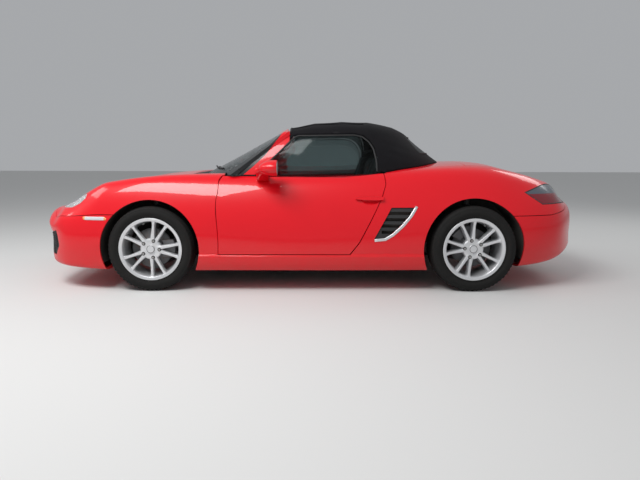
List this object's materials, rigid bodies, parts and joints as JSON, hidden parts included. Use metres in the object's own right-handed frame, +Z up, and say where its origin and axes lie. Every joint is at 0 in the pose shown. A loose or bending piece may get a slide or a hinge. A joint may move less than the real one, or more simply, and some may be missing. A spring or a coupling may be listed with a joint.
{
  "type": "two seat convertible car",
  "caption": "Low open sports car for two with a closed fabric roof, opening doors, front and rear lids, steering front wheels and rolling alloy wheels.",
  "frame": {"origin": "on the ground, under the middle of the car's overall box", "axes": "+Z up, -X towards the nose, +X towards the tail, -Y the car's left side"},
  "size_m": [4.329, 1.975, 1.2912],
  "materials": {
    "paint": "gloss",
    "window": "gloss",
    "lamp_clear": "gloss",
    "lamp_red": "gloss",
    "trim": "matte",
    "underbody": "matte",
    "roof_fabric": "woven",
    "seat": "satin",
    "hoop": "satin",
    "engine": "cast",
    "exhaust": "satin",
    "cast": "cast",
    "alloy": "satin",
    "tyre": "matte"
  },
  "bodies": {
    "body": {"cabin_tub": "underbody", "front_luggage_tub": "underbody", "rear_luggage_tub": "underbody", "front_bumper": "paint", "rear_bumper": "paint", "roof_cover": "paint", "windscreen_frame": "paint", "windscreen": "window", "cowl": "trim", "soft_top": "roof_fabric", "rear_window": "window", "dash": "trim", "console": "trim", "seats": "seat", "engine_block": "engine", "exhaust": "exhaust", "roll_hoops": "hoop", "bumper_grille": "trim", "front_suspension": "cast", "rear_suspension": "cast", "headlamps": "lamp_clear", "tail_lamps": "lamp_red", "side_vents": "trim", "wheel_liners": "underbody", "fender_left": "paint", "fender_right": "paint", "quarter_left": "paint", "quarter_right": "paint", "side_frame_left": "paint", "side_frame_right": "paint"},
    "bonnet": {"bonnet": "paint"},
    "rear_lid": {"rear_lid": "paint"},
    "steering_wheel": {"steering_wheel": "trim"},
    "door_left": {"door_left": "paint", "door_glass_left": "window", "mirror_left": "paint"},
    "knuckle_left": {"knuckle_left": "cast"},
    "front_wheel_left": {"front_wheel_left": "alloy", "front_tyre_left": "tyre"},
    "rear_wheel_left": {"rear_wheel_left": "alloy", "rear_tyre_left": "tyre"},
    "door_right": {"door_right": "paint", "door_glass_right": "window", "mirror_right": "paint"},
    "knuckle_right": {"knuckle_right": "cast"},
    "front_wheel_right": {"front_wheel_right": "alloy", "front_tyre_right": "tyre"},
    "rear_wheel_right": {"rear_wheel_right": "alloy", "rear_tyre_right": "tyre"}
  },
  "joints": [
    {"name": "steer_left", "type": "hinge", "parent": "body", "child": "knuckle_left", "pos_m": [-1.25, -0.698, 0.19], "axis": [0, 0.2187, 0.9758], "range_deg": [-32, 32]},
    {"name": "steer_right", "type": "hinge", "parent": "body", "child": "knuckle_right", "pos_m": [-1.25, 0.698, 0.19], "axis": [0, -0.2187, 0.9758], "range_deg": [-32, 32]},
    {"name": "steering_wheel_turn", "type": "hinge", "parent": "body", "child": "steering_wheel", "pos_m": [-0.38, -0.36, 0.79], "axis": [0.9135, 0, 0.4067], "range_deg": [-512, 512]},
    {"name": "door_left_hinge", "type": "hinge", "parent": "body", "child": "door_left", "pos_m": [-0.703, -0.82948, 0.37], "axis": [0, 0, -1], "range_deg": [0, 65]},
    {"name": "door_right_hinge", "type": "hinge", "parent": "body", "child": "door_right", "pos_m": [-0.703, 0.82948, 0.37], "axis": [0, 0, 1], "range_deg": [0, 65]},
    {"name": "bonnet_hinge", "type": "hinge", "parent": "body", "child": "bonnet", "pos_m": [-1.005, 0.4125, 0.846], "axis": [0, 1, 0], "range_deg": [0, 60]},
    {"name": "rear_lid_hinge", "type": "hinge", "parent": "body", "child": "rear_lid", "pos_m": [1.19, 0.4125, 0.931], "axis": [0, -1, 0], "range_deg": [0, 60]},
    {"name": "front_wheel_left_spin", "type": "hinge", "parent": "knuckle_left", "child": "front_wheel_left", "pos_m": [-1.25, -0.745, 0.318], "axis": [0, 1, 0], "continuous": true},
    {"name": "rear_wheel_left_spin", "type": "hinge", "parent": "body", "child": "rear_wheel_left", "pos_m": [1.165, -0.767, 0.322], "axis": [0, 1, 0], "continuous": true},
    {"name": "front_wheel_right_spin", "type": "hinge", "parent": "knuckle_right", "child": "front_wheel_right", "pos_m": [-1.25, 0.745, 0.318], "axis": [0, 1, 0], "continuous": true},
    {"name": "rear_wheel_right_spin", "type": "hinge", "parent": "body", "child": "rear_wheel_right", "pos_m": [1.165, 0.767, 0.322], "axis": [0, 1, 0], "continuous": true}
  ],
  "couplings": [
    {"joint": "steer_right", "follows": "steer_left", "ratio": 1},
    {"joint": "steering_wheel_turn", "follows": "steer_left", "ratio": 16}
  ]
}
